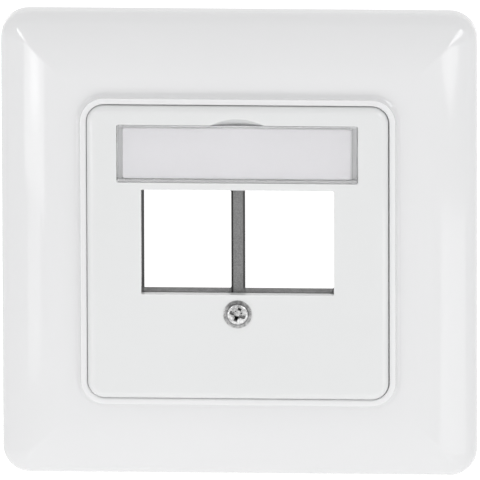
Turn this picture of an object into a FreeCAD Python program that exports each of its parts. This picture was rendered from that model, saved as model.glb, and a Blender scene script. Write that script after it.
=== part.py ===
import FreeCAD, Part
import os

# Twin keystone faceplate: a square cover frame, a centre plate with a label field, and the
# metal carrier that holds two keystone modules.
#
# Frame of reference: the wall is the plane Y = 0 and the front looks along -Y. X runs to the
# right and Z up. The origin is the middle of the faceplate on the wall. A height, below,
# is a distance from the wall towards the room. All sizes are in millimetres.

V = FreeCAD.Vector
NORMAL = V(0, 1, 0)            # axis square to the wall
QUARTER_TURN = 90
PAST = 1.0                     # how far a cutting tool runs past the face it opens
BITE = 0.2                     # how far a rib or boss runs into the wall that carries it
TOUCH = 0.01                   # edges nearer to a level than this lie on it

# Cover frame
frame_size = 80.0              # outer width and height
frame_corner_r = 4.7           # outer corners, seen from the front
frame_wall = 1.6               # thickness of the moulded skin
frame_side_h = 2.3             # upright side wall, before the border starts to curve
frame_crown_h = 8.2            # height of the border's flat
frame_curve_w = 10.5           # width over which the border curves up to its flat
frame_curve_r = 3.9            # tight outer part of that curve; the wide part follows from it
rim_rise = 1.3                 # rise of the rim round the opening over the border's flat
rim_w = 1.05                   # width of the rim's top
rim_cove_r = 0.85              # hollow curve between the border and the rim
rim_edge_r = 0.4               # rounding of the rim towards the opening
neck_wall = 1.6                # wall of the opening
ledge_t = 1.5                  # thickness of the ledge that the centre plate presses on
ledge_w = 1.95                 # how far the ledge stands into the opening
relief_w = 10.0                # gap in the ledge over each box screw's head
frame_rib_t = 1.0              # ribs between the neck and the side wall
frame_rib_play = 1.4           # room between the ribs and the carrier's wall plate
frame_rib_x = 13.0             # distance of the two ribs of a side from its middle

# Centre plate
plate_size = 50.7
plate_corner_r = 2.9
plate_proud = 0.7              # how far the plate's face stands out over the rim
plate_depth = 4.9              # from the face to the foot of the skirt, on the frame's ledge
plate_t = 1.6                  # thickness of the face
plate_edge_r = 1.3             # rounding of the front edge
plate_gap = 0.12               # gap between plate and frame, all round
skirt_t = 1.3                  # wall round the back of the plate
plate_rib_t = 1.0
plate_rib_depth = 1.4          # how far the plate's ribs stand out behind the face
plate_rib_x = 12.0             # distance of the outer ribs from the middle

# Module window in the plate
window_w = 32.4
window_height = 18.12

# Label field
label_w = 40.6                 # recess for the clear cover
label_h = 10.0
label_margin = 3.15            # from the plate's upper edge to the recess
label_web = 1.18               # strip of the face between the recess and the module window
label_moat_depth = 2.2         # depth of the groove round the label's seat
label_floor_t = 1.0            # floor under that groove
label_seat_depth = 1.4         # depth of the seat that the strip lies on
label_wall = 1.2               # wall round the recess, behind the face
label_gap = 0.1                # clearance of the clear cover in its recess
label_sink = 0.05              # how far the clear cover lies below the plate's face
label_end_leg = 0.85           # walls of the clear cover at its ends
label_side_leg = 0.45          # walls along its long sides
label_pane_t = 1.05            # thickness of its pane
label_corner_r = 0.35          # corners of the recess
label_bevel = 0.2              # bevel round the front of the clear cover
strip_t = 0.25                 # thickness of the label strip
bead_w = 3.0                   # snap bead on each end of the clear cover
bead_t = 0.6
bead_proud = 0.05
bead_rise = 0.3                # from the cover's foot to the bead
bead_groove_depth = 0.15       # groove for it in the end wall of the recess
notch_w = 9.2                  # pry notch over the middle of the label field
notch_rise = 1.15
notch_depth = 1.2

# Carrier for the modules
ring_play = 3.5                # room between its wall plate and the frame's side wall
ring_corner_r = 8.0
ring_t = 1.5                   # thickness of the wall plate
bay_w = 15.05                  # one keystone bay
bay_height = 17.26
bay_drop = 0.62                # from the window's upper edge to the bays
bay_corner_r = 0.8
divider_w = 2.2
lip_gap = 0.2                  # between the carrier's front and the plate
lip_t = 1.9                    # lip that the module's hook and latch grip
hook_pocket = 1.55             # room behind the lower lip for the module's fixed hook
latch_pocket = 1.7             # room behind the upper lip for the module's latch
nose_wall = 1.4                # side walls of the bays
nose_end_wall = 1.2            # walls under and over the pockets
gusset_t = 1.2
gusset_w = 4.5
gusset_h = 3.0
gusset_z = 5.5                 # distance of the gussets from the bays' middle
box_pitch = 60.0               # screws of the wall box
slot_w = 4.2
slot_len = 7.0
cutout_w = 42.0                # cut-outs in the wall plate, over and under the bays
cutout_r = 2.0
cutout_land = 2.5              # metal left between a cut-out and a screw slot
cutout_gap = 0.6               # between a cut-out and the bays' walls or the boss

# Cover screw, M2.5 x 8, raised countersunk head
screw_drop = 3.57              # from the bays down to the screw's axis
screw_r = 1.25
screw_len = 8.0                # from the edge of the head to the tip
screw_head_r = 2.4
screw_dome = 0.6               # rise of the head's dome
screw_play = 0.02              # radial gap of the screw in its thread
screw_tip = 0.4                # chamfer of the tip
hole_play = 0.15               # radial gap of the screw in the plate
sink_play = 0.05               # radial gap of the head in its countersink
recess_span = 2.7              # cross recess, tip to tip, at the top of the dome
recess_foot = 1.5              # the same at its bottom
recess_w = 0.55
recess_depth = 1.3
recess_turn = 20.0             # how the cross stands after tightening
boss_r = 2.9                   # the carrier's boss that the screw goes into

# Sizes that follow
half_frame = frame_size / 2
half_plate = plate_size / 2
opening = plate_size + 2 * plate_gap
opening_r = plate_corner_r + plate_gap
neck_w = opening + 2 * neck_wall
neck_r = opening_r + neck_wall
rim_h = frame_crown_h + rim_rise
plate_h = rim_h + plate_proud
ledge_h = plate_h - plate_depth
face_back_h = plate_h - plate_t
moat_h = plate_h - label_moat_depth
seat_h = plate_h - label_seat_depth
floor_back_h = moat_h - label_floor_t
pane_front_h = plate_h - label_sink
pane_back_h = pane_front_h - label_pane_t
label_z = half_plate - label_margin - label_h / 2
cover_w = label_w - 2 * label_gap
cover_h = label_h - 2 * label_gap
cover_foot_h = moat_h + label_sink
bead_foot_h = cover_foot_h + bead_rise
seat_half_w = label_w / 2 - label_end_leg - 2 * label_gap
seat_half_h = label_h / 2 - label_side_leg - 2 * label_gap
window_top = label_z - label_h / 2 - label_web
window_bottom = window_top - window_height
bay_top = window_top - bay_drop
bay_bottom = bay_top - bay_height
bay_middle = (bay_top + bay_bottom) / 2
lip_h = face_back_h - lip_gap
top_lip_h = floor_back_h - lip_gap
half_bays = bay_w + divider_w / 2
half_nose = half_bays + nose_wall
nose_foot = bay_bottom - hook_pocket - nose_end_wall
nose_top = bay_top + latch_pocket + nose_end_wall
ring_size = frame_size - 2 * (frame_wall + ring_play)
screw_z = bay_bottom - screw_drop


def block(x0, x1, z0, z1, h0, h1):
    """Block between two sides, two levels and two heights above the wall."""
    left, right = sorted((x0, x1))
    return Part.makeBox(right - left, h1 - h0, z1 - z0, V(left, -h1, z0))


def rounded_block(width, height, radius, h0, h1, x=0.0, z=0.0):
    """Block centred on (x, z) with its four corners, seen from the front, rounded."""
    solid = block(x - width / 2, x + width / 2, z - height / 2, z + height / 2, h0, h1)
    corners = [e for e in solid.Edges if e.BoundBox.YLength > e.BoundBox.XLength + e.BoundBox.ZLength]
    return solid.makeFillet(radius, corners)


def prism(outline, z0, length):
    """Prism over an outline of (x, height) points, running up from the level z0."""
    corners = [V(x, -h, z0) for x, h in outline]
    return Part.Face(Part.makePolygon(corners + corners[:1])).extrude(V(0, 0, length))


def rod(radius, h0, h1, x=0.0, z=0.0):
    """Round bar square to the wall."""
    return Part.makeCylinder(radius, h1 - h0, V(x, -h1, z), NORMAL)


def cone(r0, r1, h0, h1, x=0.0, z=0.0):
    """Round taper square to the wall: radius r0 at height h0 and r1 at height h1."""
    return Part.makeCone(r1, r0, h1 - h0, V(x, -h1, z), NORMAL)


def turned(shape, times):
    """Copy of a shape, turned about the axis through the faceplate's middle."""
    copy = shape.copy()
    copy.rotate(V(0, 0, 0), NORMAL, times * QUARTER_TURN)
    return copy


def edges_at(solid, height, reach=frame_size):
    """Edges at one height above the wall that lie within a reach of the middle."""
    found = []
    for edge in solid.Edges:
        box = edge.BoundBox
        level = abs(box.YMin + height) < TOUCH and abs(box.YMax + height) < TOUCH
        if level and max(-box.XMin, box.XMax, -box.ZMin, box.ZMax) < reach + TOUCH:
            found.append(edge)
    return found


def corner_reach(width, radius):
    """How far a centred square with round corners reaches along its diagonal."""
    return (width / 2 - radius) * 2 ** 0.5 + radius


def one_solid(shape):
    """The shape with its seams removed, checked to be one sound solid."""
    clean = shape.removeSplitter()
    if len(clean.Solids) != 1 or not clean.isValid():
        raise ValueError("expected one sound solid, got %d" % len(clean.Solids))
    return clean.Solids[0]


def border_section(inset, foot):
    """Section through the border, from side to side, moved inwards by inset.

    Each side is an upright wall, a tight arc and a wide arc that ends level at the flat.
    """
    rise = frame_crown_h - frame_side_h
    run = frame_curve_w - frame_curve_r
    wide_r = (run ** 2 + rise ** 2 - frame_curve_r ** 2) / (2 * (rise - frame_curve_r))
    tight_centre = V(frame_curve_r - half_frame, -frame_side_h, 0)
    wide_centre = V(frame_curve_w - half_frame, wide_r - frame_crown_h, 0)
    outward = (tight_centre - wide_centre).normalize()
    joint = tight_centre + outward * (frame_curve_r - inset)
    left_low = V(inset - half_frame, -frame_side_h, 0)
    left_top = V(frame_curve_w - half_frame, inset - frame_crown_h, 0)
    tight_middle = tight_centre + (V(-1, 0, 0) + outward).normalize() * (frame_curve_r - inset)
    wide_middle = wide_centre + (V(0, -1, 0) + outward).normalize() * (wide_r - inset)

    def mirrored(point):
        return V(-point.x, point.y, 0)

    left = [Part.Arc(left_low, tight_middle, joint).toShape(),
            Part.Arc(joint, wide_middle, left_top).toShape()]
    right = [Part.Arc(mirrored(left_top), mirrored(wide_middle), mirrored(joint)).toShape(),
             Part.Arc(mirrored(joint), mirrored(tight_middle), mirrored(left_low)).toShape()]
    left_foot = V(left_low.x, -foot, 0)
    edges = [Part.makeLine(left_foot, left_low)]
    edges += left
    edges.append(Part.makeLine(left_top, mirrored(left_top)))
    edges += right
    edges.append(Part.makeLine(mirrored(left_low), mirrored(left_foot)))
    edges.append(Part.makeLine(mirrored(left_foot), left_foot))
    return Part.Face(Part.Wire(edges))


def border_bulk(inset, foot):
    """Pillow that the border's skin encloses: mitred along the diagonals, round at the corners."""
    half = half_frame - inset
    radius = frame_corner_r - inset
    centre = half - radius
    section = border_section(inset, foot)
    along = section.extrude(V(0, 0, 2 * half))
    along.translate(V(0, 0, -half))
    bulk = along.common(turned(along, 1))
    strip = Part.makePlane(radius, frame_crown_h + 4 * PAST, V(centre, -frame_crown_h - PAST, 0))
    corner_face = section.common(strip)
    corner_face.translate(V(0, 0, centre))
    corner = corner_face.revolve(V(centre, 0, centre), NORMAL, -QUARTER_TURN)
    square = block(centre, half + PAST, centre, half + PAST, foot - PAST, frame_crown_h + PAST)
    for times in range(4):
        bulk = bulk.cut(turned(square, times)).fuse(turned(corner, times))
    return bulk.removeSplitter()


def rim():
    """Raised rim round the opening, on a slab, with its hollow curve."""
    outer = opening + 2 * rim_w
    slab_w = outer + 2 * rim_cove_r + BITE
    slab = rounded_block(slab_w, slab_w, opening_r + rim_w, frame_crown_h - BITE, frame_crown_h)
    raised = rounded_block(outer, outer, opening_r + rim_w, frame_crown_h - BITE, rim_h)
    joined = slab.fuse(raised).removeSplitter()
    return joined.makeFillet(rim_cove_r, edges_at(joined, frame_crown_h, outer / 2))


def frame_ribs():
    """Ribs under the border: two on each side and one in each corner."""
    foot = ring_t + frame_rib_play
    bulk = border_bulk(frame_wall / 2, foot)
    ribs = []
    for x in (-frame_rib_x, frame_rib_x):
        ribs.append(block(x - frame_rib_t / 2, x + frame_rib_t / 2, neck_w / 2 - BITE, half_frame,
                          foot, frame_crown_h))
    diagonal = block(-frame_rib_t / 2, frame_rib_t / 2, corner_reach(neck_w, neck_r) - BITE,
                     corner_reach(frame_size, frame_corner_r), foot, frame_crown_h)
    diagonal.rotate(V(0, 0, 0), NORMAL, QUARTER_TURN / 2)
    ribs.append(diagonal)
    found = []
    for times in range(4):
        for rib in ribs:
            found.append(turned(rib, times).common(bulk))
    return found


def cover_frame():
    """Hollow moulded frame with a rim, a neck, and the ledge that the centre plate clamps."""
    neck = rounded_block(neck_w, neck_w, neck_r, ledge_h - ledge_t, frame_crown_h)
    shell = border_bulk(0, 0).cut(border_bulk(frame_wall, -PAST))
    body = shell.fuse([rim(), neck] + frame_ribs())
    body = body.cut(rounded_block(opening, opening, opening_r, ledge_h, rim_h + PAST))
    hole_w = opening - 2 * ledge_w
    body = body.cut(rounded_block(hole_w, hole_w, opening_r, 0, rim_h))
    relief = block(-relief_w / 2, relief_w / 2, 0, neck_w / 2 + PAST, 0, ledge_h)
    for times in range(4):
        body = body.cut(turned(relief, times))
    body = one_solid(body)
    return one_solid(body.makeFillet(rim_edge_r, edges_at(body, rim_h, opening / 2)))


def pry_notch():
    """Scoop over the label field: a slice of a ball, deepest at the clear cover's edge."""
    edge_z = label_z + label_h / 2
    in_face_r = (notch_w ** 2 / 4 + notch_rise ** 2) / (2 * notch_rise)
    drop = in_face_r - notch_rise
    away = (in_face_r ** 2 - drop ** 2 - notch_depth ** 2) / (2 * notch_depth)
    ball_r = (in_face_r ** 2 + away ** 2) ** 0.5
    ball = Part.makeSphere(ball_r, V(0, -plate_h - away, edge_z - drop))
    keep = block(-notch_w, notch_w, edge_z - PAST, edge_z + notch_w,
                 plate_h - notch_depth - PAST, plate_h + PAST)
    return ball.common(keep)


def bead_grooves():
    """Grooves in the end walls of the recess that the clear cover's beads snap into."""
    foot_h = bead_foot_h - label_gap
    top_h = bead_foot_h + bead_t + label_gap
    z1 = label_z + bead_w / 2 + label_gap
    z0 = label_z - bead_w / 2 - label_gap
    return [block(side * (label_w / 2 - BITE), side * (label_w / 2 + bead_groove_depth),
                  z0, z1, foot_h, top_h) for side in (-1, 1)]


def centre_plate():
    """Front plate: module window, label recess, pry notch, screw hole and a skirt behind."""
    outer = rounded_block(plate_size, plate_size, plate_corner_r, ledge_h, plate_h)
    outer = outer.makeFillet(plate_edge_r, edges_at(outer, plate_h))
    inner_w = plate_size - 2 * skirt_t
    hollow = rounded_block(inner_w, inner_w, plate_corner_r - skirt_t, ledge_h - PAST, face_back_h)
    body = outer.cut(hollow)

    label_back = block(-label_w / 2 - label_wall, label_w / 2 + label_wall,
                       label_z - label_h / 2 - label_wall, label_z + label_h / 2 + label_wall,
                       floor_back_h, face_back_h + BITE)
    added = [label_back]
    rib_end_h = face_back_h - plate_rib_depth
    for x in (-plate_rib_x, 0, plate_rib_x):
        top = screw_z - boss_r - lip_gap if x == 0 else screw_z
        added.append(block(x - plate_rib_t / 2, x + plate_rib_t / 2,
                           -half_plate + skirt_t - BITE, top, rib_end_h, face_back_h + BITE))
    guide_x = half_nose + lip_gap
    for side in (-1, 1):
        added.append(block(side * guide_x, side * (guide_x + plate_rib_t), bay_bottom + lip_t,
                           bay_top - lip_t, ledge_h, face_back_h + BITE))
    body = body.fuse(added)

    recess = rounded_block(label_w, label_h, label_corner_r, moat_h, plate_h + PAST, 0, label_z)
    seat = block(-seat_half_w, seat_half_w, label_z - seat_half_h, label_z + seat_half_h,
                 moat_h - BITE, seat_h)
    recess = recess.cut(seat)
    window = block(-window_w / 2, window_w / 2, window_bottom, window_top,
                   floor_back_h - PAST, plate_h + PAST)
    hole = rod(screw_r + hole_play, 0, plate_h + PAST, 0, screw_z)
    sink_r = screw_head_r + sink_play
    sink = cone(0, sink_r, plate_h - sink_r, plate_h, 0, screw_z)
    body = body.cut([recess, window, hole, sink, pry_notch()] + bead_grooves())
    return one_solid(body)


def label_window():
    """Clear cover: a bevelled pane on a low wall, with a snap bead on each end."""
    body = rounded_block(cover_w, cover_h, label_corner_r - label_gap, cover_foot_h,
                         pane_front_h, 0, label_z)
    body = body.makeChamfer(label_bevel, edges_at(body, pane_front_h))
    inner_w = cover_w - 2 * label_end_leg
    inner_h = cover_h - 2 * label_side_leg
    body = body.cut(block(-inner_w / 2, inner_w / 2, label_z - inner_h / 2, label_z + inner_h / 2,
                          cover_foot_h - PAST, pane_back_h))
    beads = []
    for side in (-1, 1):
        root = side * (cover_w / 2 - BITE)
        tip = side * (cover_w / 2 + bead_proud)
        slant = bead_proud + BITE
        outline = [(root, bead_foot_h), (tip, bead_foot_h + slant),
                   (tip, bead_foot_h + bead_t - slant), (root, bead_foot_h + bead_t)]
        beads.append(prism(outline, label_z - bead_w / 2, bead_w))
    return one_solid(body.fuse(beads))


def label_insert():
    """Blank strip of card that lies on its seat under the clear cover."""
    half_w = seat_half_w - label_gap
    half_h = seat_half_h - label_gap
    return block(-half_w, half_w, label_z - half_h, label_z + half_h, seat_h, seat_h + strip_t)


def box_screw_slots():
    """Four slots for the wall box's screws, each running away from the middle."""
    middle = box_pitch / 2
    straight = slot_len - slot_w
    slot = block(middle - straight / 2, middle + straight / 2, -slot_w / 2, slot_w / 2,
                 -PAST, ring_t + PAST)
    for end in (-1, 1):
        slot = slot.fuse(rod(slot_w / 2, -PAST, ring_t + PAST, middle + end * straight / 2, 0))
    slot = slot.removeSplitter()
    return [turned(slot, times) for times in range(4)]


def bay_cuts():
    """Everything that is open in the two bays: the ways through and the pockets behind the lips."""
    cuts = []
    for side in (-1, 1):
        x = side * (divider_w + bay_w) / 2
        x0 = x - bay_w / 2
        x1 = x + bay_w / 2
        cuts.append(rounded_block(bay_w, bay_height, bay_corner_r, -PAST, lip_h + PAST,
                                  x, bay_middle))
        cuts.append(block(x0, x1, bay_bottom - hook_pocket, bay_bottom + hook_pocket,
                          -PAST, lip_h - lip_t))
        cuts.append(block(x0, x1, bay_top - latch_pocket, bay_top + latch_pocket,
                          -PAST, top_lip_h - lip_t))
        cuts.append(block(x0, x1, bay_top - bay_corner_r, window_top, top_lip_h, lip_h + PAST))
    return cuts


def plate_cutouts():
    """Cut-outs in the wall plate, from the wall box to the room over and under the bays."""
    far = (box_pitch - slot_len) / 2 - cutout_land
    cuts = []
    for z0, z1 in ((-far, screw_z - boss_r - cutout_gap), (nose_top + cutout_gap, far)):
        cuts.append(rounded_block(cutout_w, z1 - z0, cutout_r, -PAST, ring_t + PAST,
                                  0, (z0 + z1) / 2))
    return cuts


def gussets():
    """Wedges that stiffen the bays' side walls against the wall plate."""
    found = []
    for side in (-1, 1):
        foot = side * (half_nose - BITE)
        toe = side * (half_nose + gusset_w)
        wedge = [(foot, ring_t - BITE), (toe, ring_t - BITE), (toe, ring_t),
                 (foot, ring_t + gusset_h)]
        for z in (bay_middle - gusset_z, bay_middle + gusset_z):
            found.append(prism(wedge, z - gusset_t / 2, gusset_t))
    return found


def module_carrier():
    """Die-cast carrier: a plate on the wall, the raised twin bay and the boss for the screw."""
    ring = rounded_block(ring_size, ring_size, ring_corner_r, 0, ring_t)
    nose = block(-half_nose, half_nose, nose_foot, window_top - lip_gap, 0, lip_h)
    shoulder = block(-half_nose, half_nose, nose_foot, nose_top, 0, top_lip_h)
    boss = rod(boss_r, 0, lip_h, 0, screw_z)
    body = ring.fuse([nose, shoulder, boss] + gussets())
    thread = rod(screw_r + screw_play, -PAST, lip_h + PAST, 0, screw_z)
    body = body.cut(bay_cuts() + box_screw_slots() + plate_cutouts() + [thread])
    return one_solid(body)


def cross_recess():
    """Cross-shaped driver recess: two crossing tapered slots with a pointed middle."""
    top_h = plate_h + screw_dome + PAST
    foot_h = plate_h + screw_dome - recess_depth
    slope = (recess_span - recess_foot) / (2 * recess_depth)
    foot = recess_foot / 2
    top = recess_span / 2 + slope * PAST
    wedge = [(-foot, foot_h), (foot, foot_h), (top, top_h), (-top, top_h)]
    arms = []
    for turn in (recess_turn, recess_turn + QUARTER_TURN):
        arm = prism(wedge, -recess_w / 2, recess_w)
        arm.rotate(V(0, 0, 0), NORMAL, turn)
        arms.append(arm)
    return arms[0].fuse(arms[1])


def cover_screw():
    """Raised countersunk screw that clamps the centre plate, and with it the frame."""
    tip_h = plate_h - screw_len
    dome_h = plate_h + screw_dome
    ball_r = (screw_head_r ** 2 + screw_dome ** 2) / (2 * screw_dome)
    half_r = screw_head_r / 2
    half_h = dome_h - ball_r + (ball_r ** 2 - half_r ** 2) ** 0.5
    crown = V(0, -dome_h, 0)
    corners = [
        V(screw_head_r, -plate_h, 0),
        V(screw_r, screw_head_r - screw_r - plate_h, 0),
        V(screw_r, -tip_h - screw_tip, 0),
        V(screw_r - screw_tip, -tip_h, 0),
        V(0, -tip_h, 0),
        crown,
    ]
    outline = [Part.Arc(crown, V(half_r, -half_h, 0), corners[0]).toShape()]
    for one, other in zip(corners, corners[1:]):
        outline.append(Part.makeLine(one, other))
    body = Part.Face(Part.Wire(outline)).revolve(V(0, 0, 0), NORMAL, 360)
    body = body.cut(cross_recess())
    body.translate(V(0, 0, screw_z))
    return one_solid(body)


PIECES = {
    "cover_frame": cover_frame,
    "centre_plate": centre_plate,
    "label_window": label_window,
    "label_insert": label_insert,
    "module_carrier": module_carrier,
    "cover_screw": cover_screw,
}

os.makedirs("parts", exist_ok=True)
for name, make in PIECES.items():
    shape = make()
    shape.exportStep("parts/%s.step" % name)
    print("%-16s volume %9.2f mm3  faces %d" % (name, shape.Volume, len(shape.Faces)))
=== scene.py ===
# %% [markdown]
# # A twin keystone faceplate
# The object is a flush wall faceplate: a glossy cover frame, a centre plate with a clear label
# field, and behind them a die-cast carrier with two bays, all drawn together by one small screw.
# The solids are already there. This lesson gives them fine meshes, finishes, light and a camera.

# %% Load the solids
import math
import bmesh
import bpy
from mathutils import Matrix, Vector


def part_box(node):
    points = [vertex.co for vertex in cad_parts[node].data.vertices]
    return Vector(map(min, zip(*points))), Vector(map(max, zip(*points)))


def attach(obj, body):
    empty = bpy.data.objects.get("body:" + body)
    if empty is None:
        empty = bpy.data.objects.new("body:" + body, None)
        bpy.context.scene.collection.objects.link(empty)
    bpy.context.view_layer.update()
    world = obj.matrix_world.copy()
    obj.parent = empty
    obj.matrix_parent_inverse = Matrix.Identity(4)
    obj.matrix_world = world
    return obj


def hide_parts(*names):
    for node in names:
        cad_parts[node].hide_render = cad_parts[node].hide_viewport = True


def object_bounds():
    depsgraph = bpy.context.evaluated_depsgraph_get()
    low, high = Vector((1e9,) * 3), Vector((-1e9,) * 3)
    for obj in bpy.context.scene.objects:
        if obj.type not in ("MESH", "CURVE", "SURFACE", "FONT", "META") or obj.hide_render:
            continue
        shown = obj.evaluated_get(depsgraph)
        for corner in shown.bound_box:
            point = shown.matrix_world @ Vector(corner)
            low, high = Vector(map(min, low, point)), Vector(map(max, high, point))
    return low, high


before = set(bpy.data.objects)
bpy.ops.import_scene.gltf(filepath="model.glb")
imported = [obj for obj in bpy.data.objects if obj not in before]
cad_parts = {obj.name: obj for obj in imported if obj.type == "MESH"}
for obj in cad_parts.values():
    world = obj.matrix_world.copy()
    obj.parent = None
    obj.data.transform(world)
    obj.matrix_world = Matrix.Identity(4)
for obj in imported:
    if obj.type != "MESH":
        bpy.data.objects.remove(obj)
solid_low, solid_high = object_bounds()
print("nodes:", sorted(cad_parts))

# %% [markdown]
# ## Sizes
# The solids are in metres and the sizes of moulded parts are easier to read in millimetres, so
# one factor turns one into the other. A height is measured from the wall towards the room.
# The main sizes come from the solids' own boxes, so a new solid brings its new sizes along.

# %% Main sizes, in millimetres
MM = 0.001


def spans(node):
    """Half width, foot, front and the two levels of a solid, in millimetres."""
    low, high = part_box(node)
    return high.x / MM, -high.y / MM, -low.y / MM, low.z / MM, high.z / MM


frame_half, _, rim_height, _, _ = spans("cover_frame")
plate_half, plate_foot, face_height, _, _ = spans("centre_plate")
cover_half, cover_foot, pane_front, cover_low, cover_high = spans("label_window")
label_level = (cover_low + cover_high) / 2
screw_radius, screw_tip, dome_height, screw_low, screw_high = spans("cover_screw")
screw_level = (screw_low + screw_high) / 2
print("frame %.1f mm wide, rim %.2f mm and face %.2f mm from the wall"
      % (2 * frame_half, rim_height, face_height))
print("label field at %.2f mm, screw at %.2f mm" % (label_level, screw_level))

# %% [markdown]
# ## Loops
# Nearly every moulded edge here is a square or rectangle with round corners that changes its
# size as it rises. So the main tool is a loop of points, and a skin is laid over a pile of loops.
# All loops have the same number of points, which makes clean four-sided faces that shade well.

# %% Loops and skins
CORNER_STEPS = 12


def square_loop(half_x, half_z, radius, height, level=0.0):
    """Points round a rectangle with round corners, anticlockwise as seen from the room."""
    points = []
    for quarter, (side_x, side_z) in enumerate(((1, 1), (-1, 1), (-1, -1), (1, -1))):
        for step in range(CORNER_STEPS + 1):
            turn = math.radians(90 * (quarter + step / CORNER_STEPS))
            x = side_x * (half_x - radius) + radius * math.cos(turn)
            z = side_z * (half_z - radius) + radius * math.sin(turn) + level
            points.append(Vector((x, -height, z)) * MM)
    return points


def round_loop(radius, height, level, steps=64):
    """Points round a circle, anticlockwise as seen from the room."""
    turns = [2 * math.pi * step / steps for step in range(steps)]
    return [Vector((radius * math.cos(t), -height, radius * math.sin(t) + level)) * MM
            for t in turns]


def skin(name, loops, closed=False):
    """A piece whose surface passes through the loops; an open pile gets a lid at each end."""
    shape = bmesh.new()
    rows = [[shape.verts.new(point) for point in loop] for loop in loops]
    count = len(rows[0])
    pairs = list(zip(rows, rows[1:]))
    if closed:
        pairs.append((rows[-1], rows[0]))
    for one, other in pairs:
        for k in range(count):
            after = (k + 1) % count
            shape.faces.new((one[k], one[after], other[after], other[k]))
    if not closed:
        shape.faces.new(rows[0])
        shape.faces.new(rows[-1])
    return piece_from(name, shape)


def piece_from(name, shape):
    """Turns a worked shape into an object in the scene, with its faces pointing outwards."""
    bmesh.ops.remove_doubles(shape, verts=shape.verts, dist=0.0001 * MM)
    bmesh.ops.recalc_face_normals(shape, faces=shape.faces)
    mesh = bpy.data.meshes.new(name)
    shape.to_mesh(mesh)
    shape.free()
    piece = bpy.data.objects.new(name, mesh)
    bpy.context.scene.collection.objects.link(piece)
    return piece


print("a loop has", len(square_loop(1, 1, 0.1, 0)), "points")

# %% [markdown]
# ## Blocks, prisms and cuts
# Ribs, guides, grooves and beads are straight prisms. They are added to or taken from a skin with
# the exact boolean, which leaves one closed body, as a mould would. Each result is made final at
# once, so that no modifier is left waiting.

# %% Prisms and booleans
def prism(name, outline, start, end, turn=0.0):
    """Prism over (z, height) points, from one x to another, turned about the middle."""
    shape = bmesh.new()
    near = [shape.verts.new(Vector((start, -h, z)) * MM) for z, h in outline]
    far = [shape.verts.new(Vector((end, -h, z)) * MM) for z, h in outline]
    shape.faces.new(near)
    shape.faces.new(list(reversed(far)))
    for k in range(len(outline)):
        after = (k + 1) % len(outline)
        shape.faces.new((near[k], far[k], far[after], near[after]))
    shape.transform(Matrix.Rotation(math.radians(turn), 4, "Y"))
    return piece_from(name, shape)


def block(name, x0, x1, z0, z1, h0, h1):
    """Straight block between two sides, two levels and two heights."""
    return prism(name, [(z0, h0), (z1, h0), (z1, h1), (z0, h1)], x0, x1)


def settle(piece):
    """Makes a piece's modifiers final."""
    bpy.context.view_layer.update()
    depsgraph = bpy.context.evaluated_depsgraph_get()
    shown = piece.evaluated_get(depsgraph)
    mesh = bpy.data.meshes.new_from_object(shown, preserve_all_data_layers=True,
                                           depsgraph=depsgraph)
    piece.modifiers.clear()
    piece.data = mesh


def combine(piece, tool, operation):
    """Adds a tool to a piece (UNION), takes it away (DIFFERENCE) or keeps what they share."""
    step = piece.modifiers.new("combine", "BOOLEAN")
    step.operation = operation
    step.solver = "EXACT"
    step.object = tool
    settle(piece)
    bpy.data.objects.remove(tool)


def gathered(name, parts):
    """Several separate parts as the one mesh of one object."""
    shape = bmesh.new()
    for part in parts:
        shape.from_mesh(part.data)
        bpy.data.objects.remove(part)
    return piece_from(name, shape)


print("prisms and booleans are ready")

# %% [markdown]
# ## Soft edges and smooth shading
# No moulded edge is truly sharp: it has a radius of about a tenth of a millimetre, and that thin
# line catches the light. A bevel on every edge sharper than a limit gives it. Weighted normals
# then keep the flat faces flat, and only the bevels and the curves shade round.

# %% Soft edges
def soften(piece, width, limit=40.0, segments=2):
    """Rounds the sharp edges, and shades flat faces flat and curved ones smooth."""
    shape = bmesh.new()
    shape.from_mesh(piece.data)
    bmesh.ops.remove_doubles(shape, verts=shape.verts, dist=0.002 * MM)
    bmesh.ops.dissolve_degenerate(shape, edges=shape.edges, dist=0.002 * MM)
    bmesh.ops.dissolve_limit(shape, angle_limit=math.radians(0.2), verts=shape.verts,
                             edges=shape.edges)
    shape.to_mesh(piece.data)
    shape.free()
    if width > 0:
        edge = piece.modifiers.new("edge", "BEVEL")
        edge.width = width * MM
        edge.segments = segments
        edge.limit_method = "ANGLE"
        edge.angle_limit = math.radians(limit)
        edge.use_clamp_overlap = True
        settle(piece)
    piece.data.shade_smooth()
    piece.data.set_sharp_from_angle(angle=math.radians(limit))
    even = piece.modifiers.new("even", "WEIGHTED_NORMAL")
    even.keep_sharp = True
    even.weight = 80
    settle(piece)
    print("%-14s %6d faces" % (piece.name, len(piece.data.polygons)))


# %% [markdown]
# ## The cover frame
# The frame is a hollow moulding. Seen in section, its border has an upright side, a tight curve,
# and a wide curve that ends level; then comes a hollow curve up to a narrow rim, and the wall of
# the opening with a ledge inside. The whole section is drawn once, as a closed row of points,
# each with its reach from the middle, its height and the corner radius of its loop. The outer
# corners are round, and further in the radius runs out into a mitre along the diagonal.

# %% The border's curve
SIDE_HEIGHT = 2.3
RIM_RISE = 1.3
CROWN_HEIGHT = rim_height - RIM_RISE
CURVE_WIDTH = 10.5
CURVE_RADIUS = 3.9
CORNER_RADIUS = 4.7
SKIN = 1.6
MITRE = 0.35
corner_centre = frame_half - CORNER_RADIUS


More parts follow.
